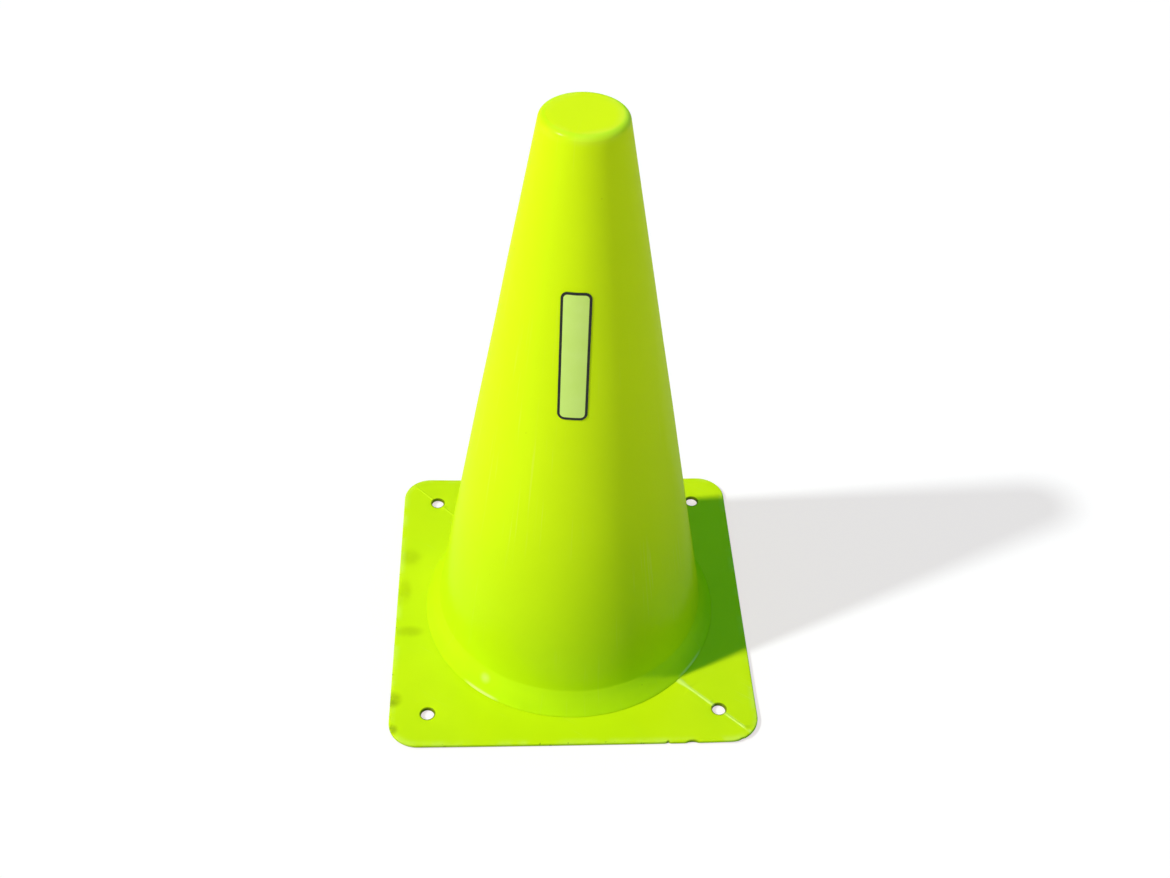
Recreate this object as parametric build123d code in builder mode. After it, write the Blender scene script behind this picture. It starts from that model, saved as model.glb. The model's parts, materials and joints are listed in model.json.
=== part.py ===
from build123d import *
import math
import os

# A sports marker cone: a thin hollow cone with a flat closed top, whose flared foot sits
# over the round opening of a square base plate. The plate has a peg hole near each corner.
# Millimetres, +Z up, origin on the ground at the centre of the plate.

# Cone
overall_height = 380.0
top_radius = 23.4
foot_radius = 90.4
wall = 1.6
top_thickness = 2.0
top_edge_radius = 4.0

# Flared foot: a straight flare that ends in a thin lip on the plate, and a collar under the lip
flare_height = 14.0
flare_reach = 7.1
flare_bend_radius = 6.0
lip_thickness = 1.0
seat_width = 3.5
collar_setback = 0.5
collar_clearance = 0.2

# Base plate
plate_margin = 20.0
plate_thickness = 2.5
plate_corner_radius = 19.0
plate_edge_radius = 1.0

# Peg holes
peg_hole_radius = 4.25
peg_inset = 24.3

# Raised mould line across the plate, on one diagonal
mould_line_angle = -45.0
mould_line_width = 1.2
mould_line_height = 0.3
mould_line_gap = 0.3
mould_line_end_inset = 2.0

# Write-on panel: a thin film on the cone wall
panel_angle = -95.0
panel_drop = 123.5
panel_height = 78.0
panel_width = 17.0
panel_corner_radius = 4.0
film_thickness = 0.2
film_gap = 0.15

# Heights and slope of the wall
plate_top = plate_thickness
lip_top = plate_top + lip_thickness
flare_top = plate_top + flare_height
slope = (foot_radius - top_radius) / (overall_height - plate_top)
half_angle = math.atan(slope)


def wall_radius(height, offset=0.0):
    """Radius at a height of the cone wall's outer face, moved outward by an offset."""
    return foot_radius - slope * (height - plate_top) + offset / math.cos(half_angle)


# Lip, which reaches out past the foot of the wall, and slope of the flare down to it
lip_radius = foot_radius + flare_reach
flare_slope = (lip_radius - wall_radius(flare_top)) / (flare_top - lip_top)
flare_angle = math.atan(flare_slope)


def flare_radius(height, offset=0.0):
    """Radius at a height of the flare's outer face, moved outward by an offset."""
    return lip_radius - flare_slope * (height - lip_top) + offset / math.cos(flare_angle)


# Foot and plate: the collar stands in the plate's opening, and the lip rests on the plate round it
opening_radius = lip_radius - seat_width
collar_outer_radius = opening_radius - collar_clearance
collar_inner_radius = collar_outer_radius - wall
collar_top = lip_top + (flare_radius(lip_top, -wall) - collar_inner_radius) / flare_slope
bend_gap = flare_radius(lip_top, -wall) - wall_radius(lip_top, -wall)
inner_bend_height = lip_top + bend_gap / (flare_slope - slope)
plate_side = 2 * (lip_radius + plate_margin)
peg_pitch = plate_side - 2 * peg_inset

os.makedirs("parts", exist_ok=True)

# Cone body: one section turned about the upright axis
ceiling = overall_height - top_thickness
inner_top = (wall_radius(ceiling, -wall), ceiling)
outer_top = (top_radius, overall_height)
outer_bend = (wall_radius(flare_top), flare_top)
inner_bend = (wall_radius(inner_bend_height, -wall), inner_bend_height)
with BuildPart() as cone_body:
    with BuildSketch(Plane.XZ) as section:
        with BuildLine():
            Polyline(
                (0, ceiling),
                inner_top,
                inner_bend,
                (collar_inner_radius, collar_top),
                (collar_inner_radius, collar_setback),
                (collar_outer_radius, collar_setback),
                (collar_outer_radius, plate_top),
                (lip_radius, plate_top),
                (lip_radius, lip_top),
                outer_bend,
                outer_top,
                (0, overall_height),
                close=True,
            )
        make_face()
        fillet(section.vertices().sort_by_distance(outer_top)[0], radius=top_edge_radius)
        fillet(section.vertices().sort_by_distance(inner_top)[0], radius=top_edge_radius - wall)
        fillet(section.vertices().sort_by_distance(outer_bend)[0], radius=flare_bend_radius)
        fillet(section.vertices().sort_by_distance(inner_bend)[0], radius=flare_bend_radius + wall)
    revolve(axis=Axis.Z)
cone_body.part.label = "cone_body"
export_step(cone_body.part, "parts/cone_body.step")

# Base plate: rounded square with a round opening, peg holes and the mould line
corner_reach = math.sqrt(2) * (plate_side / 2 - plate_corner_radius) + plate_corner_radius
line_start = lip_radius + mould_line_gap
line_end = corner_reach - mould_line_end_inset
with BuildPart() as base_plate:
    with BuildSketch():
        RectangleRounded(plate_side, plate_side, plate_corner_radius)
    extrude(amount=plate_thickness)
    fillet(base_plate.faces().sort_by(Axis.Z)[-1].edges(), radius=plate_edge_radius)
    with BuildSketch(Plane.XY.offset(plate_top)):
        with PolarLocations((line_start + line_end) / 2, 2, start_angle=mould_line_angle):
            Rectangle(line_end - line_start, mould_line_width)
    extrude(amount=mould_line_height)
    Hole(radius=opening_radius)
    with GridLocations(peg_pitch, peg_pitch, 2, 2):
        Hole(radius=peg_hole_radius)
base_plate.part.label = "base_plate"
export_step(base_plate.part, "parts/base_plate.step")

# Write-on panel: a film round the whole wall, cut to a rounded rectangle seen from the front
film_inner = film_gap
film_outer = film_gap + film_thickness
panel_direction = (math.cos(math.radians(panel_angle)), math.sin(math.radians(panel_angle)), 0)
panel_across = (-panel_direction[1], panel_direction[0], 0)
panel_centre = (0, 0, overall_height - panel_drop)
panel_plane = Plane(origin=panel_centre, x_dir=panel_across, z_dir=panel_direction)
with BuildPart() as write_on_panel:
    with BuildSketch(Plane.XZ):
        with BuildLine():
            Polyline(
                (wall_radius(lip_top, film_inner), lip_top),
                (wall_radius(lip_top, film_outer), lip_top),
                (wall_radius(overall_height, film_outer), overall_height),
                (wall_radius(overall_height, film_inner), overall_height),
                close=True,
            )
        make_face()
    revolve(axis=Axis.Z)
    with BuildSketch(panel_plane):
        RectangleRounded(panel_width, panel_height, panel_corner_radius)
    extrude(amount=foot_radius, mode=Mode.INTERSECT)
write_on_panel.part.label = "write_on_panel"
export_step(write_on_panel.part, "parts/write_on_panel.step")
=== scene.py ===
import json
import math
from typing import NamedTuple

import bmesh
import bpy
from mathutils import Matrix, Vector, noise
from mathutils.geometry import delaunay_2d_cdt


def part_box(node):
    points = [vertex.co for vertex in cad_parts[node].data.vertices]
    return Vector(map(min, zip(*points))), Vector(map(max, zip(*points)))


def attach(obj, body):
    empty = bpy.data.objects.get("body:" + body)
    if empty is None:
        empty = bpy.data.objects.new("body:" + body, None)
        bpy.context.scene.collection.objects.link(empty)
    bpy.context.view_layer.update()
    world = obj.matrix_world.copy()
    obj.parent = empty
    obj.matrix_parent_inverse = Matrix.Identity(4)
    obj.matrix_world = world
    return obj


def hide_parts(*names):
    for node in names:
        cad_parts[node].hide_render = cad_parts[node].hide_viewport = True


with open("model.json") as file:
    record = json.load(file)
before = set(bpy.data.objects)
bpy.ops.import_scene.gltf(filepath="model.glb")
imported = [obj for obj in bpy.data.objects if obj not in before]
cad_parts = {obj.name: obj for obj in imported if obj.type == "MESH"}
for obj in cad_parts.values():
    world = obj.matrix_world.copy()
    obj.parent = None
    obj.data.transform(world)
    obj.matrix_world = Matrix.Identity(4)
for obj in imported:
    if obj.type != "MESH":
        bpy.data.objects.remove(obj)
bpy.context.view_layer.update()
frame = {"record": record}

# Lengths in this script are millimetres, and meshes are made in metres
MM = 0.001
full_turn = 2 * math.pi
quarter_turn = math.pi / 2

# Sizes that the frame gives
cone_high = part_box("cone_body")[1] / MM
plate_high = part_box("base_plate")[1] / MM
peg_holes = next(m for m in frame["record"]["mounts"] if m["name"] == "peg_holes")["dims"]
height = cone_high.z
lip_radius = cone_high.x
plate_half = plate_high.x
peg_offset = peg_holes["spacing_x_mm"] / 2
peg_radius = peg_holes["hole_r_mm"]

# Cone wall and foot
top_radius = 23.4
foot_radius = 90.4
wall = 1.6
top_thickness = 2.0
top_edge_radius = 4.0
flare_height = 14.0
flare_bend_radius = 6.0
flare_hollow = 0.9
lip_thickness = 0.45
lip_edge_radius = 0.4
seat_width = 3.5
collar_setback = 0.5
collar_clearance = 0.2

# Swell of the moulded wall: an oval, slow waves, and the heights where they come in and fade
oval_depth = 0.22
oval_turn = 0.7
wave_depth = 0.2
waves_round = 2.2
wave_length = 70.0
swell_start = 15.0
swell_full = 90.0
swell_fade_start = 300.0
swell_fade = 0.6

# Base plate
plate_top = 2.5
corner_radius = 19.0
plate_edge_radius = 1.0
hole_edge_radius = 0.5

# How the plate lifts off the ground, from a gap outside the lip on
lift_gap = 4.0
lift_full = 125.0
corner_curl = 0.5
curl_start = 115.0
curl_full = 165.0
plate_waves = 0.2
plate_wave_length = 55.0
plate_wave_layer = 3.0
crease_lift = 0.6
crease_reach = 26.0

# Mould line on the plate's diagonal, wider where it starts at the foot
mould_line_angle = math.radians(-45.0)
mould_line_width = 1.4
mould_line_root_width = 3.2
mould_line_root_start = 1.0
mould_line_root_length = 9.0
mould_line_run_in = 1.5
mould_line_height = 0.3
mould_line_inset = 2.5

# Nicks in the plate's front edge: place along it, half length and depth
edge_nicks = ((58.6, 1.2, 0.8), (74.0, 4.0, 0.9), (106.0, 1.8, 1.0))
nick_fade = 2.0

# Write-on panel
panel_angle = math.radians(-95.0)
panel_drop = 123.5
panel_height = 78.0
panel_width = 17.0
panel_corner_radius = 4.0
panel_border = 1.5
film_gap = 0.15
film_thickness = 0.2

# Mesh density, margins from edges, and small limits
turn_steps = 240
wall_step = 6.0
flare_step = 2.0
arc_steps = 8
lip_arc_steps = 4
axis_reach = 1e-6
plate_step = 7.0
plate_margin = plate_step / 3
edge_step = 1.2
edge_arc_steps = 5
peg_steps = 48
edge_slack = 0.02
merge_reach = 1e-5
mould_line_step = 2
mould_line_shares = (-0.5, -0.3, -0.1, 0.1, 0.3, 0.5)
mould_line_margin = 0.2
panel_step = 2.0
panel_side_margin = 1.0
panel_end_margin = 2.0
crisp_angle = math.radians(32)

# Sizes that follow from these
lip_top = plate_top + lip_thickness
flare_top = plate_top + flare_height
slope = (foot_radius - top_radius) / (height - plate_top)
half_angle = math.atan(slope)
flare_slope = (lip_radius - foot_radius + slope * flare_height) / (flare_top - lip_top)
flare_angle = math.atan(flare_slope)
opening_radius = lip_radius - seat_width
collar_outer = opening_radius - collar_clearance
collar_inner = collar_outer - wall
corner_reach = math.sqrt(2) * (plate_half - corner_radius) + corner_radius


def smooth(low, high, value):
    """0 below low, 1 above high, and an even ease between them."""
    t = min(1.0, max(0.0, (value - low) / (high - low)))
    return t * t * (3 - 2 * t)


def arc(centre, radius, start, end, steps=arc_steps):
    """Points of an arc in a plane, ends included, with angles in radians."""
    angles = [start + (end - start) * i / steps for i in range(steps + 1)]
    return [(centre[0] + radius * math.cos(a), centre[1] + radius * math.sin(a)) for a in angles]


def circle(centre, radius, count):
    return arc(centre, radius, 0.0, full_turn, count)[:-1]


def between(start, end, step):
    """Points strictly between two points, about a step apart."""
    count = max(1, round(math.dist(start, end) / step))
    shares = [i / count for i in range(1, count)]
    return [tuple(a + (b - a) * s for a, b in zip(start, end)) for s in shares]


def ring_faces(a, b):
    """Faces between two closed rings of points. A ring of one point is the tip of a fan."""
    faces = []
    count = max(len(a), len(b))
    for i in range(count):
        j = (i + 1) % count
        if len(a) == 1:
            faces.append((a[0], b[i], b[j]))
        elif len(b) == 1:
            faces.append((a[i], b[0], a[j]))
        else:
            faces.append((a[i], b[i], b[j], a[j]))
    return faces


def fill(points, edges):
    """Points and triangles that fill an area, with edges kept between the first points."""
    vectors = [Vector(p) for p in points]
    filled, _, triangles, _, _, _ = delaunay_2d_cdt(vectors, edges, [], 0, merge_reach)
    return [tuple(p) for p in filled], triangles


def new_piece(name, vertices, faces, finish, node):
    """A closed mesh piece in place of a CAD node, with its sharp edges kept crisp."""
    mesh = bpy.data.meshes.new(name)
    mesh.from_pydata([Vector(v) * MM for v in vertices], [], faces)
    work = bmesh.new()
    work.from_mesh(mesh)
    bmesh.ops.recalc_face_normals(work, faces=work.faces)
    for face in work.faces:
        face.smooth = True
    for edge in work.edges:
        edge.smooth = edge.calc_face_angle(0.0) < crisp_angle
    work.to_mesh(mesh)
    work.free()
    piece = bpy.data.objects.new(name, mesh)
    bpy.context.scene.collection.objects.link(piece)
    mesh.materials.append(finish)
    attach(piece, "root")
    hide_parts(node)
    return piece


# Cone
def wall_radius(z, offset=0.0):
    """Radius of the cone wall's outer face at a height, moved outward by an offset."""
    return foot_radius - slope * (z - plate_top) + offset / math.cos(half_angle)


def flare_radius(z, offset=0.0):
    """Radius of the flare's outer face at a height, moved outward by an offset."""
    return lip_radius - flare_slope * (z - lip_top) + offset / math.cos(flare_angle)


def flare_height_at(radius, offset=0.0):
    """Height at which the flare's outer face, moved outward by an offset, has a radius."""
    return lip_top + (flare_radius(lip_top, offset) - radius) / flare_slope


def flare_points(start, end):
    """Points between the ends of the flare, drawn in towards the axis to a shallow hollow."""
    drawn = []
    for radius, z in between(start, end, flare_step):
        share = (z - start[1]) / (end[1] - start[1])
        drawn.append((radius - flare_hollow * 4 * share * (1 - share), z))
    return drawn


def outer_top_edge():
    """The round edge of the top, from its disc to the wall."""
    z = height - top_edge_radius
    centre = (wall_radius(z, -top_edge_radius), z)
    return arc(centre, top_edge_radius, quarter_turn, half_angle)


def inner_top_edge():
    """The round edge inside the top, from the wall to the ceiling."""
    radius = top_edge_radius - wall
    z = height - top_thickness - radius
    centre = (wall_radius(z, -wall - radius), z)
    return arc(centre, radius, half_angle, quarter_turn)


def bend_centre():
    """Centre of the bend from the wall into the flare. It lies outside the cone."""
    reach = flare_bend_radius
    gap = flare_radius(lip_top, reach) - wall_radius(lip_top, reach)
    z = lip_top + gap / (flare_slope - slope)
    return (wall_radius(z, reach), z)


def lip_edge():
    """The round edge of the lip, from the flare to its side."""
    radius = lip_radius - lip_edge_radius
    centre = (radius, flare_height_at(radius, -lip_edge_radius))
    return arc(centre, lip_edge_radius, flare_angle, 0.0, lip_arc_steps)


def foot_underside():
    """Corners under the lip and round the collar, up to the inside of the flare."""
    return [
        (lip_radius, plate_top),
        (collar_outer, plate_top),
        (collar_outer, collar_setback),
        (collar_inner, collar_setback),
        (collar_inner, flare_height_at(collar_inner, -wall)),
    ]


def cone_profile():
    """The cone's section as (radius, height) points, down the outside and up the inside."""
    tip = (0.0, height)
    ceiling = (0.0, height - top_thickness)
    high, low = math.pi + half_angle, math.pi + flare_angle
    edge, inner_edge = outer_top_edge(), inner_top_edge()
    bend = arc(bend_centre(), flare_bend_radius, high, low)
    inner_bend = arc(bend_centre(), flare_bend_radius + wall, low, high)
    lip, foot = lip_edge(), foot_underside()
    points = [tip] + between(tip, edge[0], wall_step) + edge
    points += between(edge[-1], bend[0], wall_step) + bend
    points += flare_points(bend[-1], lip[0]) + lip + foot
    points += flare_points(foot[-1], inner_bend[0]) + inner_bend
    points += between(inner_bend[-1], inner_edge[0], wall_step) + inner_edge
    return points + between(inner_edge[-1], ceiling, wall_step) + [ceiling]


def wall_swell(angle, z):
    """How far the moulded wall stands out of a true cone: a slight oval and slow waves."""
    oval = oval_depth * math.cos(2 * angle + oval_turn)
    place = (waves_round * math.cos(angle), waves_round * math.sin(angle), z / wave_length)
    waves = wave_depth * noise.noise(Vector(place))
    rise = smooth(swell_start, swell_full, z)
    return (oval + waves) * rise * (1 - swell_fade * smooth(swell_fade_start, height, z))


def make_cone(finish):
    vertices, rings = [], []
    for radius, z in cone_profile():
        if radius < axis_reach:
            rings.append([len(vertices)])
            vertices.append((0.0, 0.0, z))
            continue
        rings.append(range(len(vertices), len(vertices) + turn_steps))
        for i in range(turn_steps):
            angle = full_turn * i / turn_steps
            r = radius + wall_swell(angle, z) * smooth(0, top_radius, radius)
            vertices.append((r * math.cos(angle), r * math.sin(angle), z))
    faces = []
    for a, b in zip(rings, rings[1:]):
        faces += ring_faces(a, b)
    return new_piece("cone_shell", vertices, faces, finish, "cone_body")


# Base plate
def rounded_square(half, radius):
    """Points of a square with round corners about the origin, anticlockwise."""
    points = []
    for turn in range(4):
        start = turn * quarter_turn
        middle = start + quarter_turn / 2
        reach = math.sqrt(2) * (half - radius)
        centre = (reach * math.cos(middle), reach * math.sin(middle))
        corner = arc(centre, radius, start, start + quarter_turn, 2 * arc_steps)
        points += (between(points[-1], corner[0], edge_step) if points else []) + corner
    return points + between(points[-1], points[0], edge_step)


def on_diagonal(x, y):
    """A point's place along the mould line's diagonal, and across it."""
    along = x * math.cos(mould_line_angle) + y * math.sin(mould_line_angle)
    across = y * math.cos(mould_line_angle) - x * math.sin(mould_line_angle)
    return abs(along), across


def plate_lift(x, y):
    """How far the plate stands off the ground: nothing under the lip, most at the corners."""
    reach = math.hypot(x, y)
    along, across = on_diagonal(x, y)
    curl = corner_curl * smooth(curl_start, curl_full, reach)
    fold = max(0.0, 1 - abs(across) / crease_reach)
    crease = crease_lift * fold * smooth(lip_radius + lift_gap, corner_reach, along)
    place = (x / plate_wave_length, y / plate_wave_length, plate_wave_layer)
    waves = plate_waves * (1 + noise.noise(Vector(place)))
    return (curl + crease + waves) * smooth(lip_radius + lift_gap, lift_full, reach)


def mould_line_rise(x, y):
    """Height of the raised mould line over the plate."""
    along, across = on_diagonal(x, y)
    root_start = lip_radius + mould_line_root_start
    root = 1 - smooth(root_start, lip_radius + mould_line_root_length, along)
    width = mould_line_width + (mould_line_root_width - mould_line_width) * root
    ends = smooth(lip_radius, lip_radius + mould_line_run_in, along)
    ends *= 1 - smooth(corner_reach - 2 * mould_line_inset, corner_reach - mould_line_inset, along)
    return mould_line_height * ends * max(0.0, 1 - (2 * across / width) ** 2)


def nick_depth(x, y):
    """How far a nick in the front edge draws a point of the plate in."""
    if y >= 0:
        return 0.0
    fade = math.exp(-max(0.0, y + plate_half) / nick_fade)
    bites = [depth * max(0.0, 1 - ((x - at) / half) ** 2) for at, half, depth in edge_nicks]
    return max(bites) * fade


def plate_point(x, y, z):
    """A point of the true plate as it is moulded and worn."""
    return (x, y + nick_depth(x, y), z + plate_lift(x, y))


def peg_centres():
    return [(sx * peg_offset, sy * peg_offset) for sx in (-1, 1) for sy in (-1, 1)]


def in_plate(x, y, margin=0.0):
    """Whether a point lies on the plate's flat top, clear of its edges by a margin."""
    half = plate_half - plate_edge_radius - margin
    radius = corner_radius - plate_edge_radius
    dx = max(0.0, abs(x) - (plate_half - corner_radius))
    dy = max(0.0, abs(y) - (plate_half - corner_radius))
    if max(abs(x), abs(y)) > half or math.hypot(dx, dy) > radius - margin:
        return False
    if math.hypot(x, y) < opening_radius + hole_edge_radius + margin:
        return False
    clear = peg_radius + hole_edge_radius + margin
    return all(math.dist((x, y), c) > clear for c in peg_centres())


def mould_line_points():
    """Points along the raised mould line, close enough together to carry its shape."""
    points = []
    for angle in (mould_line_angle, mould_line_angle + math.pi):
        for along in range(round(lip_radius), round(corner_reach), mould_line_step):
            at_root = along < lip_radius + mould_line_root_length
            width = mould_line_root_width if at_root else mould_line_width
            for share in mould_line_shares:
                across = share * width
                x = along * math.cos(angle) - across * math.sin(angle)
                y = along * math.sin(angle) + across * math.cos(angle)
                points.append((x, y))
    return [p for p in points if in_plate(*p, mould_line_margin)]


def plate_outline(inset):
    return rounded_square(plate_half - inset, corner_radius - inset)


def plate_opening(inset):
    return circle((0.0, 0.0), opening_radius + inset, turn_steps)


def peg_hole(centre):
    return lambda inset: circle(centre, peg_radius + inset, peg_steps)


def plate_loops():
    """Each edge of the plate, as a function from inset to points, with its rounding's radius."""
    loops = [(plate_outline, plate_edge_radius), (plate_opening, hole_edge_radius)]
    return loops + [(peg_hole(centre), hole_edge_radius) for centre in peg_centres()]


def plate_grid(line):
    """Even points on the plate's flat top, clear of its edges and of the mould line's points."""
    taken = {(round(x / plate_step), round(y / plate_step)) for x, y in line}
    reach = round(plate_half / plate_step)
    steps = range(-reach, reach + 1)
    free = [(i, j) for i in steps for j in steps if (i, j) not in taken]
    grid = [(i * plate_step, j * plate_step) for i, j in free]
    return [p for p in grid if in_plate(*p, plate_margin)]


def plate_faces():
    """The plate's flat top as points and triangles, and the first point and count of each edge."""
    points, edges, loops = [], [], []
    for outline, radius in plate_loops():
        loop = outline(radius)
        first, count = len(points), len(loop)
        loops.append((first, count))
        edges += [(first + i, first + (i + 1) % count) for i in range(count)]
        points += loop
    line = mould_line_points()
    points, triangles = fill(points + line + plate_grid(line), edges)
    centres = [[sum(points[i][k] for i in t) / 3 for k in (0, 1)] for t in triangles]
    kept = [t for t, c in zip(triangles, centres) if in_plate(*c, -edge_slack)]
    return points, kept, loops


def edge_section(radius):
    """A plate edge in section, from its rounded top to its bevelled foot, as (inset, height)."""
    rounding = arc((radius, plate_top - radius), radius, quarter_turn, math.pi, edge_arc_steps)
    return rounding[1:] + [(0.0, radius / 2), (radius / 2, 0.0)]


def make_plate(finish):
    flat, triangles, loops = plate_faces()
    vertices = [plate_point(x, y, plate_top + mould_line_rise(x, y)) for x, y in flat]
    vertices += [plate_point(x, y, 0.0) for x, y in flat]
    below = len(flat)
    faces = [tuple(t) for t in triangles]
    faces += [tuple(i + below for i in reversed(t)) for t in triangles]
    for (first, count), (outline, radius) in zip(loops, plate_loops()):
        rings = [range(first, first + count)]
        for inset, z in edge_section(radius):
            rings.append(range(len(vertices), len(vertices) + count))
            vertices += [plate_point(x, y, z) for x, y in outline(inset)]
        rings.append([i + below for i in rings[0]])
        for a, b in zip(rings, rings[1:]):
            faces += ring_faces(a, b)
    return new_piece("base_moulding", vertices, faces, finish, "base_plate")


# Write-on panel
def on_wall(u, v, offset):
    """A point of the cone wall, u round it and v up it from the panel's centre, moved outward."""
    z = height - panel_drop + v
    angle = panel_angle + u / wall_radius(z)
    r = wall_radius(z, offset) + wall_swell(angle, z)
    return (r * math.cos(angle), r * math.sin(angle), z)


def rounded_panel(inset):
    """The panel's outline, drawn in by an inset, as (across, up) points."""
    radius = panel_corner_radius - inset
    half = (panel_width / 2 - panel_corner_radius, panel_height / 2 - panel_corner_radius)
    points = []
    for turn, (sx, sy) in enumerate(((1, 1), (-1, 1), (-1, -1), (1, -1))):
        start = turn * quarter_turn
        corner = arc((sx * half[0], sy * half[1]), radius, start, start + quarter_turn)
        points += (between(points[-1], corner[0], panel_step) if points else []) + corner
    return points + between(points[-1], points[0], panel_step)


def panel_grid():
    """Even points of the panel's field, clear of its border."""
    half_width = panel_width / 2 - panel_border
    half_height = panel_height / 2 - panel_border
    columns = round(half_width / panel_step)
    rows = round(half_height / panel_step)
    across = [i * panel_step for i in range(-columns, columns + 1)]
    across = [u for u in across if abs(u) < half_width - panel_side_margin]
    up = [j * panel_step for j in range(-rows, rows + 1)]
    up = [v for v in up if abs(v) < half_height - panel_end_margin]
    return [(u, v) for u in across for v in up]


def make_panel(film, ink):
    outer, inner = rounded_panel(0.0), rounded_panel(panel_border)
    count = len(inner)
    edges = [(i, (i + 1) % count) for i in range(count)]
    flat, triangles = fill(inner + panel_grid(), edges)
    top = film_gap + film_thickness
    vertices = [on_wall(*p, top) for p in flat]
    faces = [tuple(t) for t in triangles]
    rings = [list(range(count))]
    for points, offset in ((outer, top), (outer, film_gap), (inner, film_gap)):
        rings.append(list(range(len(vertices), len(vertices) + count)))
        vertices += [on_wall(*p, offset) for p in points]
    for a, b in zip(rings, rings[1:]):
        faces += ring_faces(a, b)
    back = rings[-1] + list(range(len(vertices), len(vertices) + len(flat) - count))
    vertices += [on_wall(*p, film_gap) for p in flat[count:]]
    faces += [tuple(back[i] for i in reversed(t)) for t in triangles]
    piece = new_piece("marking_film", vertices, faces, film, "write_on_panel")
    piece.data.materials.append(ink)
    for polygon in piece.data.polygons:
        polygon.material_index = 0 if polygon.index < len(triangles) else 1
    return piece


# Materials
# Places of the colour sockets among a Mix node's inputs and outputs
mix_inputs = (6, 7)
mix_output = 2


class Grain(NamedTuple):
    """A noise: the size of its clouds, and the range of its values over which a mark shows."""

    size: float
    detail: float = 2.0
    shift: float = 0.0
    stretch: tuple = (1.0, 1.0, 1.0)
    shows: tuple = None


class Nodes:
    """A node tree and short ways to build it."""

    def __init__(self, tree):
        self.tree = tree

    def add(self, kind, inputs=None, **settings):
        """A new node. An input is a value, or a socket that is linked to it."""
        made = self.tree.nodes.new(kind)
        for name, value in settings.items():
            setattr(made, name, value)
        for key, value in (inputs or {}).items():
            if isinstance(value, bpy.types.NodeSocket):
                self.tree.links.new(value, made.inputs[key])
            else:
                made.inputs[key].default_value = value
        return made

    def math(self, operation, *values):
        return self.add("ShaderNodeMath", dict(enumerate(values)), operation=operation).outputs[0]

    def times(self, first, second):
        return self.math("MULTIPLY", first, second)

    def raised(self, base, mask, amount):
        """A value raised by an amount where a mask is 1."""
        return self.math("MULTIPLY_ADD", mask, amount, base)

    def ease(self, value, low, high):
        """0 where a value is at low, 1 where it is at high, with an even ease between them."""
        inputs = {"Value": value, "From Min": low, "From Max": high}
        return self.add("ShaderNodeMapRange", inputs, interpolation_type="SMOOTHSTEP").outputs[0]

    def mix(self, share, first, second):
        """A colour part of the way from the first to the second."""
        made = self.add("ShaderNodeMix", {"Factor": share}, data_type="RGBA")
        for key, colour in zip(mix_inputs, (first, second)):
            if isinstance(colour, bpy.types.NodeSocket):
                self.tree.links.new(colour, made.inputs[key])
            else:
                made.inputs[key].default_value = (*colour, 1.0)
        return made.outputs[mix_output]

    def sum(self, first, second):
        """Two shaders added up."""
        inputs = {0: first.outputs[0], 1: second.outputs[0]}
        return self.add("ShaderNodeAddShader", inputs).outputs[0]

    def seen_by_eye(self):
        """1 for what the camera sees, also in gloss and through clear matter, 0 for other light."""
        path = self.add("ShaderNodeLightPath").outputs
        mirrored = self.math("MAXIMUM", path["Is Glossy Ray"], path["Is Transmission Ray"])
        return self.math("MAXIMUM", path["Is Camera Ray"], mirrored)

    def output(self, name, to_object, to_eye):
        """Links the tree's output: one shader lights the object, and the eye sees the other."""
        inputs = {0: self.seen_by_eye(), 1: to_object, 2: to_eye}
        both = self.add("ShaderNodeMixShader", inputs).outputs[0]
        self.tree.links.new(both, self.tree.nodes[name].inputs["Surface"])


class Surface(Nodes):
    """A material and its nodes. Lengths in it are millimetres in the object's own frame."""

    def __init__(self, name):
        self.material = bpy.data.materials.new(name)
        self.material.use_nodes = True
        super().__init__(self.material.node_tree)
        self.shader = self.tree.nodes["Principled BSDF"]
        coords = self.add("ShaderNodeTexCoord").outputs["Object"]
        inputs = {0: coords, "Scale": 1 / MM}
        self.place = self.add("ShaderNodeVectorMath", inputs, operation="SCALE").outputs[0]
        self.x, self.y, self.z = self.add("ShaderNodeSeparateXYZ", {0: self.place}).outputs

    def length(self, x, y):
        """Length of a vector with two parts."""
        flat = self.add("ShaderNodeCombineXYZ", {0: x, 1: y}).outputs[0]
        return self.add("ShaderNodeVectorMath", {0: flat}, operation="LENGTH").outputs["Value"]

    def radius(self):
        """Distance from the upright axis."""
        return self.length(self.x, self.y)

    def along(self, angle):
        """Distance from the upright axis, measured along a direction round it."""
        sideways = self.times(self.y, math.sin(angle))
        return self.raised(sideways, self.x, math.cos(angle))

    def noise(self, grain, place=None):
        """Noise from 0 to 1, or where a grain has a range that shows, 0 below it and 1 above."""
        inputs = {
            "Vector": self.place if place is None else place,
            "Scale": [1 / (grain.size * s) for s in grain.stretch],
            "Location": (grain.shift, grain.shift, grain.shift),
        }
        mapped = self.add("ShaderNodeMapping", inputs).outputs[0]
        inputs = {"Vector": mapped, "Scale": 1.0, "Detail": grain.detail}
        clouds = self.add("ShaderNodeTexNoise", inputs).outputs[0]
        return self.ease(clouds, *grain.shows) if grain.shows else clouds

    def shade(self, share, colour, level):
        """A colour darkened to a level where the share is 1."""
        inputs = {0: colour, "Scale": level}
        dark = self.add("ShaderNodeVectorMath", inputs, operation="SCALE").outputs[0]
        return self.mix(share, colour, dark)

    def bump(self, *bumps):
        """A normal from (height socket, depth in millimetres) pairs."""
        normal = None
        for value, depth in bumps:
            inputs = {"Height": value, "Strength": 1.0, "Distance": depth * MM}
            if normal is not None:
                inputs["Normal"] = normal
            normal = self.add("ShaderNodeBump", inputs).outputs[0]
        return normal

    def link(self, **sockets):
        """Links sockets to the shader's inputs, named with _ for a space."""
        for name, value in sockets.items():
            self.tree.links.new(value, self.shader.inputs[name.replace("_", " ")])


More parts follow.
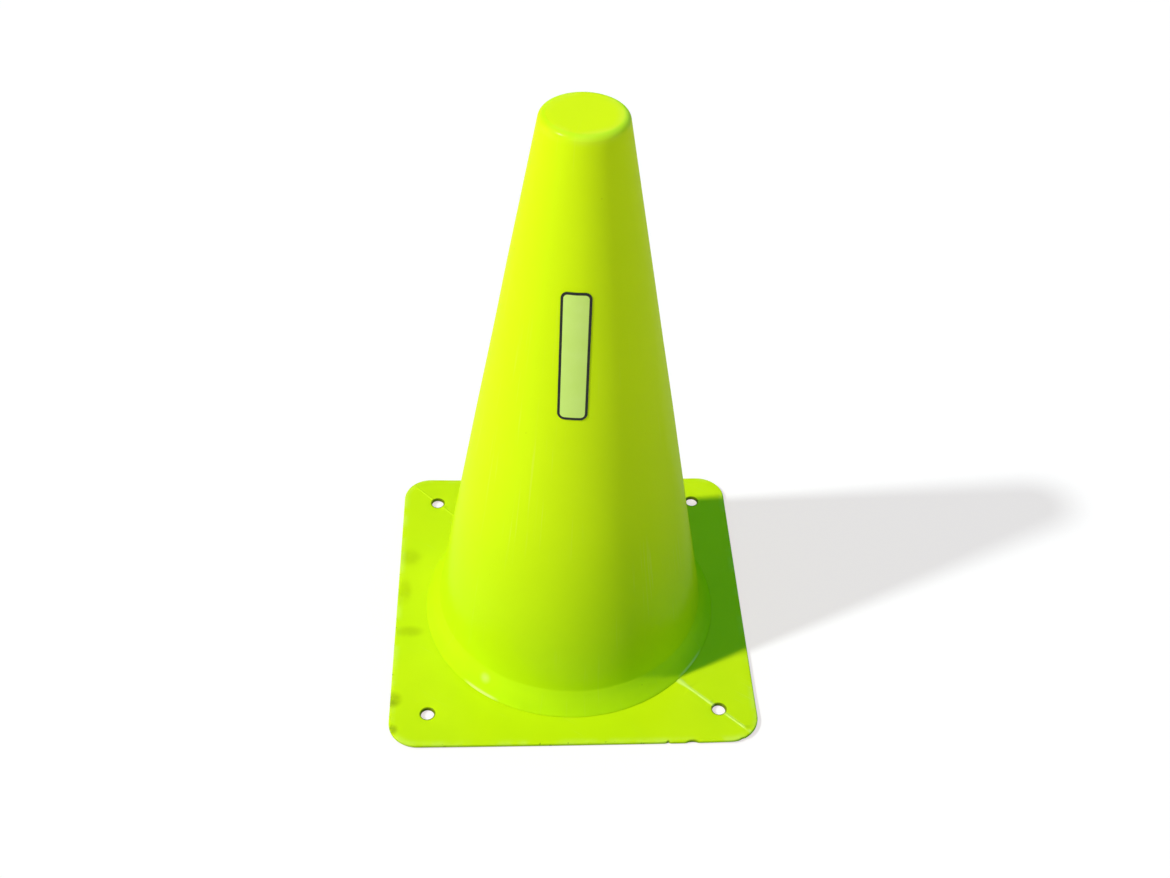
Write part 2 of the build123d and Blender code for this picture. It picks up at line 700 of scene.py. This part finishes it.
# Moulded lime plastic: what both mouldings share
plastic_specular = 0.0
skin_gloss = 0.13
skin_index = 1.5
skin_roughness = 0.22
glow_share = 0.25
glow_colour_reach = (1.0, 1.0, 0.25)
glow_reach = 2.0
# Pale lime for wear, and for the painted glints and highlight on the lip, the flare and the mould
# line
wear_and_glint_lime = (0.88, 0.94, 0.24)
plastic_grain = Grain(size=0.9)
plastic_grain_depth = 0.012


def set_plastic(s):
    """The constant values of the lime plastic: a thin glossy skin and a shallow glow under it."""
    inputs = s.shader.inputs
    inputs["Specular IOR Level"].default_value = plastic_specular
    inputs["Coat IOR"].default_value = skin_index
    inputs["Coat Roughness"].default_value = skin_roughness
    inputs["Subsurface Weight"].default_value = glow_share
    inputs["Subsurface Radius"].default_value = glow_colour_reach
    inputs["Subsurface Scale"].default_value = glow_reach * MM


def link_plastic(s, colour, roughness, dull, normal):
    """Links what varies over the plastic. The glossy skin is thinner where the surface is dull."""
    gloss = s.times(s.math("SUBTRACT", 1.0, dull), skin_gloss)
    s.link(Base_Color=colour, Roughness=roughness, Normal=normal)
    s.link(Coat_Weight=gloss, Coat_Normal=normal)


def pale_wear_and_glint(s, colour, mask, strength):
    """A colour made pale, by a strength, where a mask is 1: for wear, and for painted glints and
    highlights.
    """
    return s.mix(s.times(mask, strength), colour, wear_and_glint_lime)


# Cone finish: lime that changes a little with height, darker towards the foot as painted shade, and
# lighter on the top's disc as painted light
cone_lime_painted_light_top = (0.99, 0.99, 0.004)
cone_lime_high = (0.76, 0.97, 0.004)
cone_lime_painted_shade_low = (0.69, 0.90, 0.004)
cone_fade_low = 20.0
cone_fade_high = 170.0
disc_depth = (2.0, 0.5)
disc_inset = (1.5, 4.2)
cone_clouds = Grain(size=55.0, detail=3.0)
cone_cloud_shade = 0.95
cone_ripple = Grain(size=22.0, shift=11.0)
cone_ripple_depth = 0.06
cone_roughness = 0.1
cone_cloud_roughness = 0.1
cone_dullness = 0.6

# Rub marks up the wall, of true width where the wall has the rub radius, and dark specks
rub_radius = 60.0
rub_streaks = Grain(size=1.6, stretch=(1.0, 1.0, 45.0), shows=(0.62, 0.74))
rub_patches = Grain(size=70.0, shift=31.0, shows=(0.48, 0.66))
rub_paleness = 0.12
rub_roughness = 0.16
rub_depth = 0.01
cone_specks = Grain(size=2.6, detail=1.0, shift=7.0, shows=(0.80, 0.86))
speck_strength = 0.5
speck_shade = 0.5

# Painted shade low in the flare, in clouds: the heights between which it comes in, going down
flare_shade_heights = (13.0, 5.0)
flare_shade_clouds = Grain(size=14.0, detail=4.0)
flare_shade_level = 0.9

# Wear of the top: depths below it and insets from its edge over which the wear comes in
top_wear_depth = (7.0, 2.0)
top_wear_roughness = 0.22
rim_depth = (6.0, 2.0)
rim_inset = (8.0, 3.5)
rim_patches = Grain(size=16.0, detail=1.0, shift=5.0, shows=(0.35, 0.65))
rim_paleness = 0.12

# Middle of each arc where the lip's edge is pale, half its length and its inset; the two front arcs
# are painted glints and the two back ones wear
lip_pale_angles = tuple(math.radians(a) for a in (-128.0, -36.0, 38.0, 143.0))
lip_pale_spread = math.radians(9.0)
lip_pale_inset = (1.4, 0.5)
lip_glint_and_wear_paleness = 0.8

# Painted glint on the flare: its direction, height, half width and half height
flare_glint_angle = math.radians(-128.4)
flare_glint_height = 10.8
flare_glint_half_width = 5.0
flare_glint_half_height = 4.0
flare_glint_paleness = 0.45


def below_top(s, depths):
    """0 at the first depth below the top, 1 at the second and above."""
    return s.ease(s.z, height - depths[0], height - depths[1])


def in_from(s, radius, edge, insets):
    """0 at the first inset from an edge's radius, 1 at the second."""
    return s.ease(radius, edge - insets[0], edge - insets[1])


def rub_marks(s, radius):
    """1 along faint rubs that run up the wall, in patches."""
    turned = [s.times(s.math("DIVIDE", value, radius), rub_radius) for value in (s.x, s.y)]
    around = s.add("ShaderNodeCombineXYZ", {0: turned[0], 1: turned[1], 2: s.z}).outputs[0]
    return s.times(s.noise(rub_streaks, around), s.noise(rub_patches))


def lip_glints_and_wear(s, radius):
    """1 on the lip's edge in its pale arcs: painted glints at the front, wear at the back."""
    arcs = 0.0
    for angle in lip_pale_angles:
        facing = s.math("DIVIDE", s.along(angle), radius)
        arcs = s.math("MAXIMUM", arcs, s.ease(facing, math.cos(lip_pale_spread), 1.0))
    return s.times(in_from(s, radius, lip_radius, lip_pale_inset), arcs)


def painted_flare_glint(s):
    """1 in the middle of the painted glint on the flare."""
    across = s.math("DIVIDE", s.along(flare_glint_angle + quarter_turn), flare_glint_half_width)
    up = s.math("DIVIDE", s.math("SUBTRACT", s.z, flare_glint_height), flare_glint_half_height)
    near_side = s.ease(s.along(flare_glint_angle), 0.0, foot_radius / 2)
    return s.times(s.ease(s.length(across, up), 1.0, 0.0), near_side)


def scuffed_rim(s, radius):
    """1 where the round edge of the top is scuffed."""
    rim = s.times(below_top(s, rim_depth), in_from(s, radius, top_radius, rim_inset))
    return s.times(rim, s.noise(rim_patches))


def cone_lime(s, radius):
    """The cone's lime before wear: darker towards the foot as painted shade, and lighter on the
    top's disc as painted light.
    """
    fade = s.ease(s.z, cone_fade_low, cone_fade_high)
    # Darker towards the foot: painted shade
    colour = s.mix(fade, cone_lime_painted_shade_low, cone_lime_high)
    # Lighter on the top's disc: painted light
    disc = s.times(below_top(s, disc_depth), in_from(s, radius, top_radius, disc_inset))
    return s.mix(disc, colour, cone_lime_painted_light_top)


def cone_finish():
    """Glossy lime plastic, with rub marks, a few specks, painted shade towards the foot and low in
    the flare, a top disc lightened as painted light, pale lip arcs that are painted glints at the
    front and wear at the back, and a painted glint on the flare.
    """
    s = Surface("cone_plastic")
    set_plastic(s)
    radius = s.radius()
    clouds = s.noise(cone_clouds)
    rubs = rub_marks(s, radius)
    specks = s.times(s.noise(cone_specks), speck_strength)
    flare_shade_and_dull = s.times(s.ease(s.z, *flare_shade_heights), s.noise(flare_shade_clouds))
    colour = s.shade(clouds, cone_lime(s, radius), cone_cloud_shade)
    colour = pale_wear_and_glint(s, colour, rubs, rub_paleness)
    colour = s.shade(specks, colour, speck_shade)
    # Painted shade low in the flare, in clouds; the same mask also dulls the gloss
    colour = s.shade(flare_shade_and_dull, colour, flare_shade_level)
    colour = pale_wear_and_glint(s, colour, scuffed_rim(s, radius), rim_paleness)
    # Pale arcs on the lip's edge: painted glints at the front, wear at the back
    colour = pale_wear_and_glint(s, colour, lip_glints_and_wear(s, radius), lip_glint_and_wear_paleness)
    # Painted glint on the flare
    colour = pale_wear_and_glint(s, colour, painted_flare_glint(s), flare_glint_paleness)
    roughness = s.raised(cone_roughness, clouds, cone_cloud_roughness)
    roughness = s.raised(roughness, rubs, rub_roughness)
    roughness = s.raised(roughness, below_top(s, top_wear_depth), top_wear_roughness)
    dull = s.times(s.math("MAXIMUM", rubs, flare_shade_and_dull), cone_dullness)
    ripple = (s.noise(cone_ripple), cone_ripple_depth)
    grain = (s.noise(plastic_grain), plastic_grain_depth)
    link_plastic(s, colour, roughness, dull, s.bump(ripple, grain, (rubs, rub_depth)))
    return s.material


# Plate finish: lime that is a little greener in slow clouds
plate_lime = (0.76, 0.85, 0.004)
plate_lime_deep = (0.72, 0.83, 0.004)
plate_green_clouds = Grain(size=80.0, shift=23.0, shows=(0.35, 0.65))
plate_clouds = Grain(size=38.0, detail=3.0)
plate_cloud_shade = 0.94
plate_ripple = Grain(size=16.0, shift=13.0)
plate_ripple_depth = 0.12
plate_roughness = 0.13
plate_cloud_roughness = 0.12
plate_dull_roughness = 0.5
topside_heights = (1.6, 2.2)

# Fine scratches in patches, at a slant
scratch_slant = (0.0, 0.0, 0.6)
scratch_streaks = Grain(size=0.9, stretch=(45.0, 1.0, 1.0), shows=(0.64, 0.74))
scratch_patches = Grain(size=30.0, shift=17.0, shows=(0.46, 0.62))
scratch_paleness = 0.12
scratch_roughness = 0.2
scratch_depth = 0.01

# Wear of the plate's edge: distances in from it over which the wear comes in
edge_wear_reach = (5.0, 0.5)
edge_wear_patches = Grain(size=20.0, detail=4.0, shift=2.0, shows=(0.42, 0.62))
edge_paleness = 0.22
edge_dullness = 0.4
chip_reach = (1.6, 0.4)
chip_patches = Grain(size=3.0, detail=1.0, shift=41.0, shows=(0.66, 0.72))
chip_strength = 0.7
chip_shade = 0.45
nick_shade_length = 1.2
nick_shade_depth = 2.5
nick_shade = 0.35

# Stains on the plate's left side: place, half width and half length, and strength
plate_stains = (
    (-110.0, 41.0, 10.0, 11.0, 0.35),
    (-113.0, 9.0, 7.0, 15.0, 0.35),
    (-108.0, -26.0, 13.0, 6.5, 0.45),
    (-117.0, -82.0, 9.0, 8.0, 1.2),
    (-115.0, -105.0, 5.0, 5.0, 0.8),
)
oval_core = 0.25
stain_clouds = Grain(size=9.0, detail=3.0, shows=(0.0, 0.6))
stain_shade = 0.58
stain_dullness = 0.5

# Painted shade: dark rims beside the cone's lip and round the peg holes
lip_shade_reach = (1.4, 0.2)
lip_shade_clouds = Grain(size=12.0, detail=3.0)
lip_shade_level = 0.94
peg_shade_reach = (1.2, 0.4)
peg_shade_level = 0.3

# Pale mould line, on its front half only, partly wear and partly a painted highlight: its half
# width, as shares of the raised line's widths, and its full core
line_half_share = 1.2
line_root_half_share = 0.4
line_core = 0.3
line_patches = Grain(size=9.0, shift=9.0, shows=(0.2, 0.6))
line_highlight_and_wear_paleness = 0.6


def oval_mask(s, x, y, half_width, half_length):
    """1 in the middle of an oval on the plate and 0 outside it."""
    across = s.math("DIVIDE", s.math("SUBTRACT", s.x, x), half_width)
    along = s.math("DIVIDE", s.math("SUBTRACT", s.y, y), half_length)
    return s.ease(s.length(across, along), 1.0, oval_core)


def edge_distance(s):
    """Distance in from the plate's outer edge."""
    inner = plate_half - corner_radius
    past = [s.math("SUBTRACT", s.math("ABSOLUTE", v), inner) for v in (s.x, s.y)]
    reach = s.length(*(s.math("MAXIMUM", v, 0.0) for v in past))
    return s.math("SUBTRACT", corner_radius, reach)


def mould_line_highlight_and_wear_mask(s):
    """1 along the half of the mould line that is pale, partly as wear and partly as a painted
    highlight, wider at its root beside the lip.
    """
    along = s.along(mould_line_angle)
    across = s.math("ABSOLUTE", s.along(mould_line_angle + quarter_turn))
    root_end = lip_radius + mould_line_root_length
    root = s.ease(along, root_end, lip_radius + mould_line_root_start)
    half_width = line_half_share * mould_line_width
    reach = s.raised(half_width, root, line_root_half_share * mould_line_root_width)
    pale = s.ease(s.math("DIVIDE", across, reach), 1.0, line_core)
    front_half = s.ease(along, 0.0, lip_radius / 2)
    return s.times(s.times(pale, front_half), s.noise(line_patches))


def painted_peg_shade_mask(s):
    """1 at the edges of the peg holes and inside them, where shade is painted."""
    off = [s.math("SUBTRACT", s.math("ABSOLUTE", v), peg_offset) for v in (s.x, s.y)]
    return s.ease(s.length(*off), *(peg_radius + reach for reach in peg_shade_reach))


def painted_lip_shade_mask(s):
    """Clouds of up to 1 on the plate close to the cone's lip, and under it, where shade is painted.
    """
    near = s.ease(s.radius(), *(lip_radius + reach for reach in lip_shade_reach))
    return s.times(near, s.noise(lip_shade_clouds))


def scratch_marks(s):
    """1 along fine scratches, in patches."""
    inputs = {"Vector": s.place, "Rotation": scratch_slant}
    slanted = s.add("ShaderNodeMapping", inputs).outputs[0]
    return s.times(s.noise(scratch_streaks, slanted), s.noise(scratch_patches))


def stain_masks(s, topside):
    """The strength of each stain on the plate's topside."""
    blotches = s.times(topside, s.noise(stain_clouds))
    masks = []
    for x, y, half_width, half_length, strength in plate_stains:
        stain = s.times(oval_mask(s, x, y, half_width, half_length), strength)
        masks.append(s.times(stain, blotches))
    return masks


def damaged_and_shaded(s, colour, edge):
    """A colour with dark nicks and chips on the plate's edge, and painted shade as dark rims beside
    the lip and round the peg holes.
    """
    for x, half_length, depth in edge_nicks:
        nick = (nick_shade_length * half_length, nick_shade_depth * depth)
        colour = s.shade(oval_mask(s, x, -plate_half, *nick), colour, nick_shade)
    chips = s.times(s.ease(edge, *chip_reach), s.noise(chip_patches))
    colour = s.shade(s.times(chips, chip_strength), colour, chip_shade)
    # Painted shade beside the cone's lip
    colour = s.shade(painted_lip_shade_mask(s), colour, lip_shade_level)
    # Painted shade at the edges of the peg holes and inside them
    return s.shade(painted_peg_shade_mask(s), colour, peg_shade_level)


def plate_finish():
    """Glossy lime plastic, with scratches, stains on one side, worn edges, painted shade beside the
    lip and round the peg holes, and a pale mould line that is partly wear and partly a painted
    highlight.
    """
    s = Surface("plate_plastic")
    set_plastic(s)
    clouds = s.noise(plate_clouds)
    scratches = scratch_marks(s)
    edge = edge_distance(s)
    topside = s.ease(s.z, *topside_heights)
    worn_edge = s.times(s.ease(edge, *edge_wear_reach), s.noise(edge_wear_patches))
    lime = s.mix(s.noise(plate_green_clouds), plate_lime, plate_lime_deep)
    colour = s.shade(clouds, lime, plate_cloud_shade)
    colour = pale_wear_and_glint(s, colour, worn_edge, edge_paleness)
    colour = pale_wear_and_glint(s, colour, scratches, scratch_paleness)
    dull = s.times(worn_edge, edge_dullness)
    for stain in stain_masks(s, topside):
        colour = s.shade(stain, colour, stain_shade)
        dull = s.math("MAXIMUM", dull, s.times(stain, stain_dullness))
    colour = damaged_and_shaded(s, colour, edge)
    # Pale mould line on its front half: partly wear, partly a painted highlight
    colour = pale_wear_and_glint(s, colour, s.times(mould_line_highlight_and_wear_mask(s), topside), line_highlight_and_wear_paleness)
    roughness = s.raised(plate_roughness, clouds, plate_cloud_roughness)
    roughness = s.raised(roughness, dull, plate_dull_roughness)
    roughness = s.raised(roughness, scratches, scratch_roughness)
    ripple = (s.noise(plate_ripple), plate_ripple_depth)
    grain = (s.noise(plastic_grain), plastic_grain_depth)
    link_plastic(s, colour, roughness, dull, s.bump(ripple, grain, (scratches, scratch_depth)))
    return s.material


# Panel finish: a pale satin film and the black ink of its border
film_specular = 0.3
film_clouds = Grain(size=9.0, detail=4.0)
film_colour = (0.66, 0.86, 0.16)
film_pale_colour = (0.72, 0.90, 0.24)
film_grain = Grain(size=4.0, detail=3.0)
film_roughness = 0.28
film_grain_roughness = 0.15
film_bumps = Grain(size=0.7)
film_bump_depth = 0.008
ink_wear = Grain(size=3.0, detail=4.0, shows=(0.55, 0.75))
ink_colour = (0.008, 0.010, 0.006)
ink_worn_colour = (0.035, 0.045, 0.012)
ink_grain = Grain(size=2.0, detail=3.0)
ink_roughness = 0.25
ink_grain_roughness = 0.2


def film_finish():
    """Pale satin film with a faint grain."""
    s = Surface("panel_film")
    s.shader.inputs["Specular IOR Level"].default_value = film_specular
    colour = s.mix(s.noise(film_clouds), film_colour, film_pale_colour)
    roughness = s.raised(film_roughness, s.noise(film_grain), film_grain_roughness)
    normal = s.bump((s.noise(film_bumps), film_bump_depth))
    s.link(Base_Color=colour, Roughness=roughness, Normal=normal)
    return s.material


def ink_finish():
    """Black ink, slightly worn."""
    s = Surface("panel_ink")
    s.shader.inputs["Specular IOR Level"].default_value = film_specular
    colour = s.mix(s.noise(ink_wear), ink_colour, ink_worn_colour)
    roughness = s.raised(ink_roughness, s.noise(ink_grain), ink_grain_roughness)
    s.link(Base_Color=colour, Roughness=roughness)
    return s.material


make_cone(cone_finish())
make_plate(plate_finish())
make_panel(film_finish(), ink_finish())

# Floor: the light that it sends up is dim close to the object and warm further out.
# What the eye sees of it, also in the gloss, is a white ground with a soft shadow.
floor_reach = 8000.0
floor_drop = 0.2
floor_near_reach = 160.0
floor_far_reach = 500.0
floor_near_colour = (0.08, 0.20, 0.10)
floor_far_colour = (1.0, 0.84, 0.66)
floor_far_glow = (0.4, 0.08, 0.0, 1.0)
ground_colour = (0.38, 0.38, 0.38, 1.0)
ground_glow = 0.64
ground_glow_colour = (1.15, 1.0, 1.0, 1.0)


def floor_finish():
    s = Surface("floor")
    far = s.ease(s.radius(), floor_near_reach, floor_far_reach)
    colour = s.mix(far, floor_near_colour, floor_far_colour)
    bounce = s.add("ShaderNodeBsdfDiffuse", {"Color": colour})
    warmth = s.add("ShaderNodeEmission", {"Color": floor_far_glow, "Strength": far})
    ground = s.add("ShaderNodeBsdfDiffuse", {"Color": ground_colour})
    glow = s.add("ShaderNodeEmission", {"Color": ground_glow_colour, "Strength": ground_glow})
    s.output("Material Output", s.sum(bounce, warmth), s.sum(ground, glow))
    return s.material


def make_floor():
    mesh = bpy.data.meshes.new("floor")
    half = floor_reach * MM
    corners = [(sx * half, sy * half, 0.0) for sx, sy in ((-1, -1), (1, -1), (1, 1), (-1, 1))]
    mesh.from_pydata(corners, [], [(0, 1, 2, 3)])
    floor = bpy.data.objects.new("floor", mesh)
    bpy.context.scene.collection.objects.link(floor)
    floor.location.z = -floor_drop * MM
    mesh.materials.append(floor_finish())


make_floor()

# Camera, as fitted to the photograph's outline: place, aim, roll and lens
camera_azimuth = math.radians(-3.818)
camera_elevation = math.radians(43.127)
camera_roll = math.radians(2.229)
camera_distance = 869.05
camera_target = Vector((6.58, 0.0, 154.06))
camera_lens = 43.533
camera_sensor = 36.0


def direction(azimuth, elevation):
    """A unit vector towards an azimuth from +X and an elevation."""
    flat = math.cos(elevation)
    return Vector((math.cos(azimuth) * flat, math.sin(azimuth) * flat, math.sin(elevation)))


def make_camera():
    back = direction(camera_azimuth - quarter_turn, camera_elevation)
    data = bpy.data.cameras.new("camera")
    data.sensor_width = camera_sensor
    data.lens = camera_lens
    camera = bpy.data.objects.new("camera", data)
    bpy.context.scene.collection.objects.link(camera)
    camera.location = (camera_target + back * camera_distance) * MM
    aim = back.to_track_quat("Z", "Y").to_matrix().to_4x4()
    camera.rotation_euler = (aim @ Matrix.Rotation(camera_roll, 4, "Z")).to_euler()
    bpy.context.scene.camera = camera


make_camera()

# Light: a key from the left and a little in front, and a blue-green sky, less so at the horizon.
# The eye sees the sky as white.
key_azimuth = math.radians(194.25)
key_elevation = math.radians(45.9)
key_strength = 2.88
key_colour = (0.94, 1.0, 1.0)
key_spread = math.radians(3.0)
sky_strength = 0.34
sky_colour = (0.24, 0.95, 1.0)
horizon_colour = (0.6, 0.95, 0.8)
horizon_rise = 0.5
backdrop_colour = (1.0, 1.0, 1.0, 1.0)


def make_key():
    data = bpy.data.lights.new("key", "SUN")
    data.energy = key_strength
    data.color = key_colour
    data.angle = key_spread
    key = bpy.data.objects.new("key", data)
    bpy.context.scene.collection.objects.link(key)
    towards = direction(key_azimuth, key_elevation)
    key.rotation_euler = towards.to_track_quat("Z", "Y").to_euler()


def make_sky():
    world = bpy.data.worlds.new("sky")
    bpy.context.scene.world = world
    world.use_nodes = True
    n = Nodes(world.node_tree)
    aim = n.add("ShaderNodeTexCoord").outputs["Generated"]
    upward = n.add("ShaderNodeSeparateXYZ", {0: aim}).outputs["Z"]
    tint = n.mix(n.ease(upward, 0.0, horizon_rise), horizon_colour, sky_colour)
    sky = n.add("ShaderNodeBackground", {"Color": tint, "Strength": sky_strength})
    backdrop = n.add("ShaderNodeBackground", {"Color": backdrop_colour})
    n.output("World Output", sky.outputs[0], backdrop.outputs[0])


make_key()
make_sky()
bpy.context.scene.view_settings.view_transform = "Standard"
